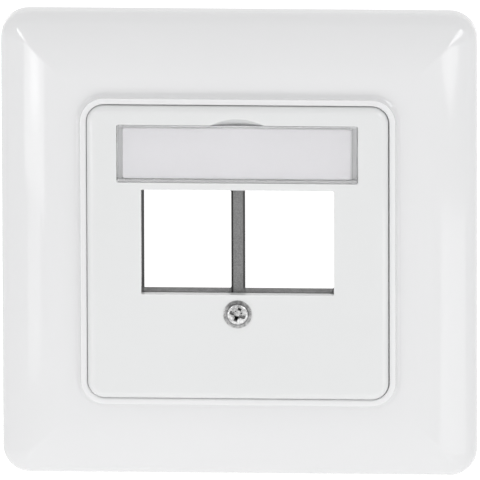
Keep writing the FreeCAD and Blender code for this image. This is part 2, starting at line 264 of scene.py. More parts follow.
def border_curve(inset, tight_steps=12, wide_steps=18):
    """(reach, height) points from the upright side to the level flat, moved inwards by inset."""
    rise = CROWN_HEIGHT - SIDE_HEIGHT
    run = CURVE_WIDTH - CURVE_RADIUS
    wide = (run ** 2 + rise ** 2 - CURVE_RADIUS ** 2) / (2 * (rise - CURVE_RADIUS))
    tight_centre = Vector((frame_half - CURVE_RADIUS, SIDE_HEIGHT))
    wide_centre = Vector((frame_half - CURVE_WIDTH, CROWN_HEIGHT - wide))
    away = tight_centre - wide_centre
    joint = math.atan2(away.y, away.x)
    points = []
    for step in range(tight_steps + 1):
        turn = joint * step / tight_steps
        arm = Vector((math.cos(turn), math.sin(turn)))
        points.append(tight_centre + arm * (CURVE_RADIUS - inset))
    for step in range(1, wide_steps + 1):
        turn = joint + (math.pi / 2 - joint) * step / wide_steps
        arm = Vector((math.cos(turn), math.sin(turn)))
        points.append(wide_centre + arm * (wide - inset))
    return [(p.x, p.y) for p in points]


def border_radius(reach, least):
    """Corner radius of the border's loop at one reach: round outside, a mitre further in."""
    return max(least, reach - corner_centre)


print("border curve of", len(border_curve(0)), "points")

# %% The frame's section, point by point
PLATE_GAP = 0.12
RIM_WIDTH = 1.05
RIM_OUTER_ROUND = 0.1
RIM_INNER_ROUND = 0.4
COVE = 0.85
FOOT_ROUND = 0.15
LEDGE_WIDTH = 1.95
LEDGE_THICKNESS = 1.5
OPENING_CORNER = 3.02
OPENING_HALF = plate_half + PLATE_GAP
LEDGE_HEIGHT = plate_foot
LEDGE_FOOT = plate_foot - LEDGE_THICKNESS
HOLE_HALF = OPENING_HALF - LEDGE_WIDTH
NECK_HALF = OPENING_HALF + SKIN
opening_centre = OPENING_HALF - OPENING_CORNER


def arc(centre_reach, centre_height, radius, first, last, steps):
    """(reach, height) points along an arc, its angles in degrees from the outward side."""
    found = []
    for step in range(steps + 1):
        turn = math.radians(first + (last - first) * step / steps)
        found.append((centre_reach + radius * math.cos(turn),
                      centre_height + radius * math.sin(turn)))
    return found


def frame_section():
    """The section's (reach, height, corner radius, is it the rim) from the outer foot round."""
    rows = [(frame_half - FOOT_ROUND, 0.0), (frame_half, FOOT_ROUND)]
    rows += border_curve(0)
    section = [(r, h, border_radius(r, MITRE), False) for r, h in rows]
    rim_outer = OPENING_HALF + RIM_WIDTH
    cove_foot = CROWN_HEIGHT + COVE
    rows = arc(rim_outer + COVE, cove_foot, COVE, 270, 180, 8)
    rows += arc(rim_outer - RIM_OUTER_ROUND, rim_height - RIM_OUTER_ROUND, RIM_OUTER_ROUND,
                30, 90, 3)
    rows += arc(OPENING_HALF + RIM_INNER_ROUND, rim_height - RIM_INNER_ROUND, RIM_INNER_ROUND,
                90, 180, 8)
    rows += [(OPENING_HALF, LEDGE_HEIGHT)]
    section += [(r, h, r - opening_centre, True) for r, h in rows]
    hole_corner = OPENING_HALF - opening_centre
    rows = [(HOLE_HALF + FOOT_ROUND, LEDGE_HEIGHT), (HOLE_HALF, LEDGE_HEIGHT - FOOT_ROUND),
            (HOLE_HALF, LEDGE_FOOT)]
    section += [(r, h, hole_corner, False) for r, h in rows]
    rows = [(NECK_HALF, LEDGE_FOOT), (NECK_HALF, CROWN_HEIGHT - SKIN)]
    section += [(r, h, r - opening_centre, False) for r, h in rows]
    rows = list(reversed(border_curve(SKIN, 8, 10))) + [(frame_half - SKIN, 0.0)]
    section += [(r, h, border_radius(r, 0.2), False) for r, h in rows]
    return section


# %% [markdown]
# The plate has a little play in the opening and has settled down and to the left, so the joint
# is closed there and open above and on the right. Here the plate stays where its solid is, and
# the rim and the opening's wall are drawn closer to it on those two sides instead.

# %% The frame's skin
PLAY_LEFT = 0.09
PLAY_BELOW = 0.105
loops = []
for reach, height, corner, is_rim in frame_section():
    loop = square_loop(reach, reach, corner, height)
    for point in loop:
        if is_rim and point.x < 0:
            point.x += PLAY_LEFT * MM
        if is_rim and point.z < 0:
            point.z += PLAY_BELOW * MM
    loops.append(loop)
frame_moulding = skin("frame_moulding", loops, closed=True)
print("section of", len(loops), "loops")

# %% [markdown]
# Behind, ribs tie the neck to the side walls: two on each side and one in each corner. Over the
# box's screws the ledge has gaps. Both are made from a few prisms, turned by quarters. A rib
# bites a little into the wall that carries it, so that the two fuse into one body.

# %% Ribs and gaps behind the frame
RIB_FOOT = 2.9
RIB_HALF = 0.5
RIB_PLACE = 13.0
BITE = 0.2
GAP_HALF = 5.0


def rib_outline(start, stretch):
    """Outline of a rib that ends inside the skin; stretch maps a reach to a distance."""
    curve = [(stretch(r), h) for r, h in border_curve(SKIN / 2) if h > RIB_FOOT]
    return [(start, RIB_FOOT), (curve[0][0], RIB_FOOT)] + curve + [(start, curve[-1][1])]


def along_diagonal(reach):
    """Distance along the diagonal at which the border has the height it has at this reach."""
    return min(reach, corner_centre) * math.sqrt(2) + max(0.0, reach - corner_centre)


neck_corner = opening_centre * math.sqrt(2) + NECK_HALF - opening_centre
ribs = []
gaps = []
for quarter in range(4):
    side = rib_outline(NECK_HALF - BITE, lambda reach: reach)
    for x in (-RIB_PLACE, RIB_PLACE):
        ribs.append(prism("rib", side, x - RIB_HALF, x + RIB_HALF, 90 * quarter))
    diagonal = rib_outline(neck_corner - BITE, along_diagonal)
    ribs.append(prism("rib", diagonal, -RIB_HALF, RIB_HALF, 90 * quarter + 45))
    gap = [(HOLE_HALF - 2, -1), (NECK_HALF + 1, -1), (NECK_HALF + 1, LEDGE_HEIGHT),
           (HOLE_HALF - 2, LEDGE_HEIGHT)]
    gaps.append(prism("gap", gap, -GAP_HALF, GAP_HALF, 90 * quarter))
combine(frame_moulding, gathered("ribs", ribs), "UNION")
combine(frame_moulding, gathered("gaps", gaps), "DIFFERENCE")
soften(frame_moulding, 0)

# %% [markdown]
# ## The centre plate
# The plate is a shallow lid: a face with a rounded front edge and a skirt that stands on the
# frame's ledge. Its face carries the label field, the module window, a notch for a fingernail
# and the sunk hole of the screw. The lid is a pile of loops, and the rest is cut into it.

# %% The lid
EDGE_RADIUS = 1.3
PLATE_CORNER = 2.9
SKIRT = 1.3
SKIRT_ROUND = 0.1
FACE_BACK = face_height - 1.6
rows = [(plate_half - SKIRT, FACE_BACK), (plate_half - SKIRT, plate_foot),
        (plate_half - SKIRT_ROUND, plate_foot), (plate_half, plate_foot + SKIRT_ROUND)]
rows += arc(plate_half - EDGE_RADIUS, face_height - EDGE_RADIUS, EDGE_RADIUS, 0, 90, 14)
loops = [square_loop(r, r, r - plate_half + PLATE_CORNER, h) for r, h in rows]
plate_moulding = skin("plate_moulding", loops)
print("lid of", len(loops), "loops")

# %% What stands behind the face
LABEL_HALF_X = 20.3
LABEL_HALF_Z = 5.0
MOAT = face_height - 2.2
SEAT = face_height - 1.4
FLOOR_BACK = MOAT - 1.0
LABEL_WALL = 1.2
WINDOW_HALF = 16.2
WINDOW_TOP = label_level - LABEL_HALF_Z - 1.18
WINDOW_FOOT = WINDOW_TOP - 18.12
PLATE_RIB_PLACE = 12.0
PLATE_RIB_DEPTH = 1.4
RIB_TO_SCREW = 3.1
GUIDE_PLACE = 18.25
GUIDE_FOOT = WINDOW_FOOT + 2.14
GUIDE_TOP = WINDOW_TOP - 2.52
wall_x = LABEL_HALF_X + LABEL_WALL
wall_z = LABEL_HALF_Z + LABEL_WALL
behind = [block("back", -wall_x, wall_x, label_level - wall_z, label_level + wall_z,
                FLOOR_BACK, FACE_BACK + BITE)]
for x in (-PLATE_RIB_PLACE, 0.0, PLATE_RIB_PLACE):
    top = screw_level - RIB_TO_SCREW if x == 0 else screw_level
    behind.append(block("rib", x - RIB_HALF, x + RIB_HALF, -plate_half + SKIRT - BITE, top,
                        FACE_BACK - PLATE_RIB_DEPTH, FACE_BACK + BITE))
for x in (-GUIDE_PLACE, GUIDE_PLACE):
    behind.append(block("guide", x - RIB_HALF, x + RIB_HALF, GUIDE_FOOT, GUIDE_TOP,
                        plate_foot, FACE_BACK + BITE))
combine(plate_moulding, gathered("behind", behind), "UNION")
print("plate with ribs, guides and the label field's back")

# %% [markdown]
# The label field is a recess with a channel all round and a seat in the middle for the strip. In
# each end wall a short groove takes a bead of the clear cover. The window is cut right through.
# The notch is a slice of a ball that ends at the recess.

# %% Label recess, window and screw hole
SEAT_HALF_X = LABEL_HALF_X - 1.05
SEAT_HALF_Z = LABEL_HALF_Z - 0.65
LABEL_CORNER = 0.35
recess = skin("recess", [
    square_loop(LABEL_HALF_X, LABEL_HALF_Z, LABEL_CORNER, face_height + 1, label_level),
    square_loop(LABEL_HALF_X, LABEL_HALF_Z, LABEL_CORNER, MOAT, label_level),
    square_loop(SEAT_HALF_X, SEAT_HALF_Z, 0.1, MOAT, label_level),
    square_loop(SEAT_HALF_X, SEAT_HALF_Z, 0.1, SEAT, label_level)])
combine(plate_moulding, recess, "DIFFERENCE")

window_level = (WINDOW_TOP + WINDOW_FOOT) / 2
window_half_z = (WINDOW_TOP - WINDOW_FOOT) / 2
window = skin("window", [
    square_loop(WINDOW_HALF, window_half_z, 0.2, face_height + 1, window_level),
    square_loop(WINDOW_HALF, window_half_z, 0.2, FLOOR_BACK - 1, window_level)])
combine(plate_moulding, window, "DIFFERENCE")

BEAD_FOOT = cover_foot + 0.3
BEAD_TOP = BEAD_FOOT + 0.6
BEAD_HALF = 1.5
BEAD_PLAY = 0.1
GROOVE_DEPTH = 0.15
groove_low = label_level - BEAD_HALF - BEAD_PLAY
groove_high = label_level + BEAD_HALF + BEAD_PLAY
grooves = []
for side in (-1, 1):
    ends = sorted((side * (LABEL_HALF_X - BITE), side * (LABEL_HALF_X + GROOVE_DEPTH)))
    grooves.append(block("groove", ends[0], ends[1], groove_low, groove_high,
                         BEAD_FOOT - BEAD_PLAY, BEAD_TOP + BEAD_PLAY))
combine(plate_moulding, gathered("grooves", grooves), "DIFFERENCE")

SINK = screw_radius + 0.05
HOLE = 1.4
hole = skin("hole", [
    round_loop(SINK, face_height + 1, screw_level), round_loop(SINK, face_height, screw_level),
    round_loop(HOLE, face_height - SINK + HOLE, screw_level),
    round_loop(HOLE, FACE_BACK - 2, screw_level)])
combine(plate_moulding, hole, "DIFFERENCE")
print("recess, window, grooves and screw hole cut")

# %% The fingernail notch
NOTCH_HALF = 4.6
NOTCH_RISE = 1.15
NOTCH_DEPTH = 1.45
notch_edge = label_level + LABEL_HALF_Z
face_radius = (NOTCH_HALF ** 2 + NOTCH_RISE ** 2) / (2 * NOTCH_RISE)
drop = face_radius - NOTCH_RISE
away = (face_radius ** 2 - drop ** 2 - NOTCH_DEPTH ** 2) / (2 * NOTCH_DEPTH)
ball_radius = math.hypot(face_radius, away)
shape = bmesh.new()
bmesh.ops.create_uvsphere(shape, u_segments=128, v_segments=96, radius=ball_radius * MM)
shape.transform(Matrix.Translation(Vector((0, -face_height - away, notch_edge - drop)) * MM))
notch = piece_from("notch", shape)
keep = block("keep", -9, 9, notch_edge - 0.5, notch_edge + 9, face_height - 3, face_height + 1)
combine(notch, keep, "INTERSECT")
combine(plate_moulding, notch, "DIFFERENCE")
soften(plate_moulding, 0.09)

# %% [markdown]
# ## The clear label cover
# The cover is a pane on a low wall, moulded in clear plastic, with a snap bead on each end.
# Light bends in it, so it must be one closed body with nothing inside: the wall and the pane
# are one pile of loops, from the pane's back round to its front, and the beads are joined to it.

# %% The clear cover
END_WALL = 0.85
SIDE_WALL = 0.45
COVER_GAP = 0.1
COVER_CORNER = 0.25
BEAD_TAPER = 0.25
COVER_HALF_X = LABEL_HALF_X - COVER_GAP
COVER_HALF_Z = LABEL_HALF_Z - COVER_GAP
pane_back = pane_front - 1.05
loops = []
for height in (pane_back, cover_foot):
    loops.append(square_loop(COVER_HALF_X - END_WALL, COVER_HALF_Z - SIDE_WALL, 0.1,
                             height, label_level))
for inset, height in ((0.04, cover_foot), (0.0, cover_foot + 0.04), (0.0, pane_front - 0.22),
                      (0.02, pane_front - 0.18), (0.09, pane_front - 0.1),
                      (0.17, pane_front - 0.02), (0.21, pane_front)):
    loops.append(square_loop(COVER_HALF_X - inset, COVER_HALF_Z - inset, COVER_CORNER - inset,
                             height, label_level))
clear_cover = skin("clear_cover", loops)
beads = []
for side in (-1, 1):
    outline = [(COVER_HALF_X - BITE, BEAD_FOOT), (cover_half, BEAD_FOOT + BEAD_TAPER),
               (cover_half, BEAD_TOP - BEAD_TAPER), (COVER_HALF_X - BITE, BEAD_TOP)]
    beads.append(prism("bead", outline, -BEAD_HALF, BEAD_HALF, -90 * side))
for bead in beads:
    bead.data.transform(Matrix.Translation((0, 0, label_level * MM)))
combine(clear_cover, gathered("beads", beads), "UNION")
soften(clear_cover, 0, limit=30)

# %% [markdown]
# ## The label strip
# Under the cover lies a blank strip of card. It is a thin sheet with clipped round corners. Its
# pocket leaves it a little play, and it has slid down and to the left.

# %% The strip
strip_low, strip_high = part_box("label_insert")
strip_half = Vector(((strip_high.x - strip_low.x) / 2, (strip_high.z - strip_low.z) / 2)) / MM
strip_back = -strip_high.y / MM
strip_front = -strip_low.y / MM
STRIP_EXTRA = 0.07
STRIP_CORNER = 0.35
STRIP_EDGE = 0.03
STRIP_SLID = Vector((-0.13, 0, -0.06))
wide, tall = strip_half.x, strip_half.y + STRIP_EXTRA
loops = [square_loop(wide, tall, STRIP_CORNER, strip_back, label_level),
         square_loop(wide, tall, STRIP_CORNER, strip_front - STRIP_EDGE, label_level),
         square_loop(wide - STRIP_EDGE, tall - STRIP_EDGE, STRIP_CORNER - STRIP_EDGE,
                     strip_front, label_level)]
card_strip = skin("card_strip", loops)
card_strip.data.transform(Matrix.Translation(STRIP_SLID * MM))
soften(card_strip, 0)

# %% [markdown]
# ## The carrier
# The carrier is a raw zinc casting. Its form is already in the solid, so a copy of the solid's
# mesh is cleaned of its flat triangles, and its edges get the soft radius of a casting. A die's
# halves never close quite true: here the bar between the bays is a touch slim on its right, and
# the sill under them a touch low. The shift fades out over the bays' round corners.

# %% The carrier's casting
shape = bmesh.new()
shape.from_mesh(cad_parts["module_carrier"].data)
BAR_HALF = 1.1
BAR_SLIM = 0.24
SILL_LOW = 0.18
BAY_CORNER = 0.8
BAY_TOP = WINDOW_TOP - 0.62
BAY_FOOT = BAY_TOP - 17.26
HOOK_ROOM = 1.6
LATCH_ROOM = 1.75
BAYS_HALF = 16.2
for vert in shape.verts:
    x = vert.co.x / MM
    z = vert.co.z / MM
    beside = 1 - (x - BAR_HALF) / BAY_CORNER
    above = 1 - (z - BAY_FOOT) / BAY_CORNER
    if -0.01 <= beside <= 1.01 and BAY_FOOT - HOOK_ROOM < z < BAY_TOP + LATCH_ROOM:
        vert.co.x -= BAR_SLIM * beside * MM
    if -0.01 <= above <= 1.01 and abs(x) < BAYS_HALF:
        vert.co.z -= SILL_LOW * above * MM
carrier_front = -min(vert.co.y for vert in shape.verts) / MM
carrier_casting = piece_from("carrier_casting", shape)
soften(carrier_casting, 0.12, limit=35)

# %% [markdown]
# ## The screw
# The screw has a raised countersunk head: a cone that sits in the plate's sink, a sloping brim
# and, with a step up, a flatter dome. Its recess is a cross with a small tick between each pair
# of arms. The shank gets a real thread, a ridge that climbs by one pitch a turn.

# %% The screw's head
SHANK = 1.22
EDGE_CUT = 0.04
BRIM = ((2.0, 0.12), (1.84, 0.16))
DOME = 1.78
DOME_STEP = 0.4
rise = dome_height - face_height
rows = [(SHANK, face_height - screw_radius + SHANK),
        (screw_radius - EDGE_CUT, face_height - EDGE_CUT), (screw_radius, face_height)]
rows += [(reach, face_height + share * rise) for reach, share in BRIM]
for step in range(9):
    turn = math.radians(90 * step / 8)
    rows.append((DOME - DOME_STEP * (1 - math.cos(turn)),
                 face_height + rise * (0.2 + 0.5 * math.sin(turn))))
flank_reach, flank_height = rows[-1]
dome_rise = dome_height - flank_height
dome_ball = (flank_reach ** 2 + dome_rise ** 2) / (2 * dome_rise)
for step in range(1, 8):
    reach = flank_reach * (1 - step / 8)
    rows.append((reach, dome_height - dome_ball + math.sqrt(dome_ball ** 2 - reach ** 2)))
screw_head = skin("screw_head", [round_loop(r, h, 0.0) for r, h in rows])
print("head of", len(rows), "loops")

# %% The cross recess
RECESS_TURN = 20.0
ARM_WIDTH = 0.6
ARM_DEPTH = 1.3
TICK_WIDTH = 0.24
TICK_DEPTH = 0.55


def wing(width, top_half, foot_half, depth, turn):
    """One tapered slot of the recess, right across the head."""
    top = dome_height + 0.3
    outline = [(-foot_half, dome_height - depth), (foot_half, dome_height - depth),
               (top_half, top), (-top_half, top)]
    return prism("wing", outline, -width / 2, width / 2, turn)


for turn, foot_half in ((0, 0.62), (90, 0.95)):
    arm = wing(ARM_WIDTH, 1.5, foot_half, ARM_DEPTH, RECESS_TURN + turn)
    combine(screw_head, arm, "DIFFERENCE")
for turn in (45, 135):
    tick = wing(TICK_WIDTH, 1.05, 0.5, TICK_DEPTH, RECESS_TURN + turn)
    combine(screw_head, tick, "DIFFERENCE")
soften(screw_head, 0.03, limit=30)

# %% The thread
PITCH = 0.45
THREAD_DEPTH = 0.26
THREAD_STEPS = 32
ROWS_PER_TURN = 8
CREST = 1.15
POINT = 0.4
shank_top = face_height - screw_radius + SHANK + 0.3
rows = []
height = screw_tip
while height < shank_top:
    row = []
    for step in range(THREAD_STEPS):
        turn = 2 * math.pi * step / THREAD_STEPS
        phase = ((height - screw_tip) / PITCH - step / THREAD_STEPS) % 1.0
        ridge = 1 - abs(2 * phase - 1)
        reach = SHANK - THREAD_DEPTH * (1 - min(1.0, CREST * ridge))
        reach = min(reach, SHANK - POINT + (height - screw_tip))
        row.append(Vector((reach * math.cos(turn), -height, reach * math.sin(turn))) * MM)
    rows.append(row)
    height += PITCH / ROWS_PER_TURN
screw_shank = skin("screw_shank", rows)
screw = gathered("sunk_screw", [screw_head, screw_shank])
screw.data.transform(Matrix.Translation((0, 0, screw_level * MM)))
screw.data.shade_smooth()
screw.data.set_sharp_from_angle(angle=math.radians(35))
print("thread of", len(rows), "rows")

# %% [markdown]
# ## Finishes
# Each finish is a small network of nodes round one Principled shader. Its even values are set on
# the shader itself, and only what changes over the surface comes from nodes: a faint unevenness
# of the gloss, the grain of the casting, the fibres of the card. Object coordinates are metres,
# so a noise scale of 1000 makes spots about a millimetre across.

# %% Helpers for finishes
def new_finish(name, colour, roughness, metallic=0.0, ior=1.5):
    """A material with its Principled shader set, and its node tree to add to."""
    material = bpy.data.materials.new(name)
    material.use_nodes = True
    tree = material.node_tree
    shader = tree.nodes["Principled BSDF"]
    shader.inputs["Base Color"].default_value = (*colour, 1.0)
    shader.inputs["Roughness"].default_value = roughness
    shader.inputs["Metallic"].default_value = metallic
    shader.inputs["IOR"].default_value = ior
    return material, tree, shader


def math_node(tree, operation, first, second=None):
    """A Math node; an input is a socket to link, a value to set, or None to leave."""
    node = tree.nodes.new("ShaderNodeMath")
    node.operation = operation
    for k, item in enumerate((first, second)):
        if isinstance(item, bpy.types.NodeSocket):
            tree.links.new(item, node.inputs[k])
        elif item is not None:
            node.inputs[k].default_value = item
    return node.outputs["Value"]


def map_range(tree, source, from_low, from_high, low, high):
    """A Map Range node that takes one span of a socket's values to another."""
    node = tree.nodes.new("ShaderNodeMapRange")
    node.inputs["From Min"].default_value = from_low
    node.inputs["From Max"].default_value = from_high
    node.inputs["To Min"].default_value = low
    node.inputs["To Max"].default_value = high
    tree.links.new(source, node.inputs["Value"])
    return node.outputs["Result"]


def place_on(tree, source="Object"):
    """The place on the piece, or another texture coordinate, and its three parts."""
    place = tree.nodes.new("ShaderNodeTexCoord").outputs[source]
    parts = tree.nodes.new("ShaderNodeSeparateXYZ")
    tree.links.new(place, parts.inputs["Vector"])
    return place, parts.outputs


def spots(tree, scale, detail=3.0, roughness=0.5):
    """Noise that stays fixed to the piece; gives the node's output."""
    place = tree.nodes.new("ShaderNodeTexCoord")
    noise = tree.nodes.new("ShaderNodeTexNoise")
    noise.inputs["Scale"].default_value = scale
    noise.inputs["Detail"].default_value = detail
    noise.inputs["Roughness"].default_value = roughness
    tree.links.new(place.outputs["Object"], noise.inputs["Vector"])
    return noise.outputs["Fac"]


def vary(tree, source, low, high, target):
    """Spreads a noise between two values and feeds it to a socket."""
    tree.links.new(map_range(tree, source, 0.3, 0.7, low, high), target)


def tint(tree, source, dark, light, target):
    """Colours a noise between two tones and feeds it to a socket."""
    ramp = tree.nodes.new("ShaderNodeValToRGB")
    ramp.color_ramp.elements[0].position = 0.3
    ramp.color_ramp.elements[0].color = (*dark, 1.0)
    ramp.color_ramp.elements[1].position = 0.7
    ramp.color_ramp.elements[1].color = (*light, 1.0)
    tree.links.new(source, ramp.inputs["Fac"])
    tree.links.new(ramp.outputs["Color"], target)


def relief(tree, shader, source, depth):
    """Raises the surface by a noise; depth in metres."""
    bump = tree.nodes.new("ShaderNodeBump")
    bump.inputs["Strength"].default_value = 1.0
    bump.inputs["Distance"].default_value = depth
    tree.links.new(source, bump.inputs["Height"])
    tree.links.new(bump.outputs["Normal"], shader.inputs["Normal"])


print("finish helpers are ready")

# %% [markdown]
# Glossy white mouldings look smooth, but their polish is never quite even, and the skin has a
# swell too low to see except in the edge of a reflection. Light enters white plastic and comes
# out some tenths of a millimetre away, which keeps the joints and grooves from looking black. The
# frame and the plate come from two moulds, so each has its own finish, a shade apart.

# %% White mouldings
MOTTLE = 0.985
SWELL = 0.0012 * MM


def white_moulding(name, light, seed_scale):
    """Glossy white plastic with a faint swell, an uneven polish and a hardly seen mottle."""
    dark = tuple(MOTTLE * value for value in light)
    material, tree, shader = new_finish(name, light, 0.1, ior=1.5)
    shader.inputs["Subsurface Weight"].default_value = 0.6
    shader.inputs["Subsurface Radius"].default_value = (1.0, 1.0, 1.0)
    shader.inputs["Subsurface Scale"].default_value = 0.7 * MM
    tint(tree, spots(tree, 22 * seed_scale), dark, light, shader.inputs["Base Color"])
    vary(tree, spots(tree, 90 * seed_scale, 4.0), 0.05, 0.09, shader.inputs["Roughness"])
    relief(tree, shader, spots(tree, 420 * seed_scale, 2.0), SWELL)
    return material


frame_white = white_moulding("frame_white", (0.798, 0.799, 0.805), 1.0)
plate_white = white_moulding("plate_white", (0.778, 0.784, 0.785), 1.2)
print("two whites")

# %% [markdown]
# The clear cover is a polished transparent plastic: a transmissive shader with the index of
# polycarbonate and a hint of haze from fine scuffs. Its long walls, above and below the pane's
# middle, are left matt by the mould and scatter light, so there the roughness rises and a part
# of the light isn't let through. A path tracer can't aim at a lamp through a surface that bends
# light, so rays that look for lamps pass straight through instead. Without that the strip
# behind would lie in the dark.

# %% Clear plastic
POLYCARBONATE = 1.58
clear_plastic, tree, shader = new_finish("clear_cover_plastic", (0.99, 0.99, 0.995), 0.02,
                                         ior=POLYCARBONATE)
shader.inputs["Transmission Weight"].default_value = 1.0
LOWER_FROST = 0.2
UPPER_FROST = 0.1
CLEAR_SHARE = 0.68
scuffs = map_range(tree, spots(tree, 160, 5.0, 0.6), 0.3, 0.7, 0.01, 0.06)
_, parts = place_on(tree)
off_middle = math_node(tree, "SUBTRACT", parts["Z"], label_level * MM)
wall_start = (COVER_HALF_Z - SIDE_WALL - 0.05) * MM
wall_full = (COVER_HALF_Z - SIDE_WALL) * MM
lower = map_range(tree, off_middle, -wall_start, -wall_full, 0.0, LOWER_FROST)
upper = map_range(tree, off_middle, wall_start, wall_full, 0.0, UPPER_FROST)
frost = math_node(tree, "ADD", lower, upper)
tree.links.new(math_node(tree, "ADD", scuffs, frost), shader.inputs["Roughness"])
tree.links.new(map_range(tree, frost, 0.0, LOWER_FROST, 1.0, CLEAR_SHARE),
               shader.inputs["Transmission Weight"])
ray = tree.nodes.new("ShaderNodeLightPath")
open_way = tree.nodes.new("ShaderNodeBsdfTransparent")
open_way.inputs["Color"].default_value = (0.995, 0.995, 1.0, 1.0)
either = tree.nodes.new("ShaderNodeMixShader")
tree.links.new(ray.outputs["Is Shadow Ray"], either.inputs["Fac"])
tree.links.new(shader.outputs["BSDF"], either.inputs[1])
tree.links.new(open_way.outputs["BSDF"], either.inputs[2])
tree.links.new(either.outputs["Shader"], tree.nodes["Material Output"].inputs["Surface"])
print("clear plastic")

# %% [markdown]
# The strip is smooth card, a little cooler and darker than the plastic round it, with a fibre
# that only shows close up.

# %% Card
FIBRE = 0.004 * MM
card, tree, shader = new_finish("label_card", (0.8, 0.79, 0.81), 0.75)
shader.inputs["Specular IOR Level"].default_value = 0.15
tint(tree, spots(tree, 900, 6.0, 0.7), (0.785, 0.777, 0.794), (0.808, 0.8, 0.817),
     shader.inputs["Base Color"])
relief(tree, shader, spots(tree, 2500, 6.0, 0.7), FIBRE)
print("card")

# %% [markdown]
# Raw zinc comes out of the die dull and mottled, with a fine grain. Two noises make it: a fine
# one for the grain's tone and relief and a coarse one for the roughness, as the metal flowed. The
# walls that face sideways are painted darker and less metallic, as painted shade, and so is a
# thin line along the left edge of the bar's front, a painted shade line.

# %% Raw casting
casting, tree, shader = new_finish("raw_zinc", (0.21, 0.21, 0.21), 0.5, metallic=0.85)
# Inset, half width and depth of the painted shade line along the left edge of the bar's front.
SHADE_LINE_IN = 0.15
SHADE_LINE_HALF = 0.17
SHADE_LINE_DEPTH = 1.0
GRAIN = 0.02 * MM
_, parts = place_on(tree)
_, normal = place_on(tree, "Normal")
# Painted shade: walls that face sideways are painted darker and less metallic, and so is a thin
# line along the left edge of the bar's front.
side_wall_shade = map_range(tree, math_node(tree, "ABSOLUTE", normal["X"]), 0.5, 0.9, 0.0, 0.75)
on_shade_line = math_node(tree, "COMPARE", parts["X"], -(BAR_HALF - SHADE_LINE_IN) * MM)
on_shade_line.node.inputs[2].default_value = SHADE_LINE_HALF * MM
on_front = math_node(tree, "LESS_THAN", parts["Y"], -(carrier_front - SHADE_LINE_DEPTH) * MM)
painted_shade = math_node(tree, "MAXIMUM", side_wall_shade, math_node(tree, "MULTIPLY", on_shade_line, on_front))
grain_and_painted_shade = tree.nodes.new("ShaderNodeMix")
grain_and_painted_shade.data_type = "RGBA"
grain_and_painted_shade.inputs["B"].default_value = (0.04, 0.04, 0.04, 1.0)
tint(tree, spots(tree, 5200, 5.0, 0.7), (0.14, 0.14, 0.14), (0.28, 0.28, 0.28),
     grain_and_painted_shade.inputs["A"])
tree.links.new(painted_shade, grain_and_painted_shade.inputs["Factor"])
tree.links.new(grain_and_painted_shade.outputs["Result"], shader.inputs["Base Color"])
tree.links.new(map_range(tree, painted_shade, 0.0, 1.0, 0.85, 0.0), shader.inputs["Metallic"])
shader.inputs["Specular IOR Level"].default_value = 0.0
vary(tree, spots(tree, 700, 4.0), 0.42, 0.62, shader.inputs["Roughness"])
relief(tree, shader, spots(tree, 5200, 5.0, 0.7), GRAIN)
print("raw zinc")

# %% [markdown]
# The screw is nickel-plated steel, bright on its dome. Light and shade are painted into its
# colour:
# the brim round the dome is painted darker as a painted reflection of darker surroundings, with a
# painted dark line at the dome's foot; the ends of one pair of arms, down in the recess, are
# painted dark as painted shade; and the whole head is painted darker at its upper edge and
# lighter at its lower one. The brim's tone follows the distance from the screw's axis, the
# recess's follows the depth and the way along the arm. Stamping leaves it mottled, and fine tool
# marks blur the reflection.

# %% Plated steel
RECESS_REACH = 0.7
TOOL_MARKS = 0.03 * MM
plated, tree, shader = new_finish("plated_steel", (0.62, 0.63, 0.63), 0.2, metallic=1.0)
place, parts = place_on(tree)
flat = tree.nodes.new("ShaderNodeVectorMath")
flat.operation = "MULTIPLY_ADD"
flat.inputs[1].default_value = (1.0, 0.0, 1.0)
flat.inputs[2].default_value = (0.0, 0.0, -screw_level * MM)
reach = tree.nodes.new("ShaderNodeVectorMath")
reach.operation = "LENGTH"
tree.links.new(place, flat.inputs[0])
tree.links.new(flat.outputs["Vector"], reach.inputs[0])
share = math_node(tree, "DIVIDE", reach.outputs["Value"], screw_radius * MM)
# Painted reflection: past the dome the brim is painted darker, darkest in a thin line at the
# dome's foot.
painted_brim_reflection = tree.nodes.new("ShaderNodeValToRGB")
painted_brim_reflection.color_ramp.elements[0].position = 0.715
painted_brim_reflection.color_ramp.elements[0].color = (1.0, 1.0, 1.0, 1.0)
painted_brim_reflection.color_ramp.elements[1].position = 0.75
painted_brim_reflection.color_ramp.elements[1].color = (0.22, 0.22, 0.23, 1.0)
for position, value in ((0.82, 0.55), (0.9, 0.5), (1.0, 0.66)):
    mark = painted_brim_reflection.color_ramp.elements.new(position)
    mark.color = (value, value, value, 1.0)
tree.links.new(share, painted_brim_reflection.inputs["Fac"])
# Painted shade: the ends of one pair of arms, deep in the recess, are painted dark.
deep = map_range(tree, parts["Y"], -(face_height + 0.4) * MM, -(face_height - 0.1) * MM, 0.0, 1.0)
inner = math_node(tree, "LESS_THAN", share, RECESS_REACH)
arm_turn = math.radians(90 - RECESS_TURN)
along = tree.nodes.new("ShaderNodeVectorMath")
along.operation = "DOT_PRODUCT"
along.inputs[1].default_value = (math.cos(arm_turn) / MM, 0.0, math.sin(arm_turn) / MM)
tree.links.new(flat.outputs["Vector"], along.inputs[0])
both_ways = math_node(tree, "ABSOLUTE", along.outputs["Value"])
outwards = map_range(tree, both_ways, 0.35, 0.6, 0.05, 1.0)
recess_shade = math_node(tree, "MULTIPLY", math_node(tree, "MULTIPLY", inner, deep), outwards)
recess_shade_tone = tree.nodes.new("ShaderNodeMix")
recess_shade_tone.data_type = "FLOAT"
recess_shade_tone.inputs["A"].default_value = 0.5
recess_shade_tone.inputs["B"].default_value = 0.03
tree.links.new(recess_shade, recess_shade_tone.inputs["Factor"])
flat_parts = tree.nodes.new("ShaderNodeSeparateXYZ")
tree.links.new(flat.outputs["Vector"], flat_parts.inputs["Vector"])
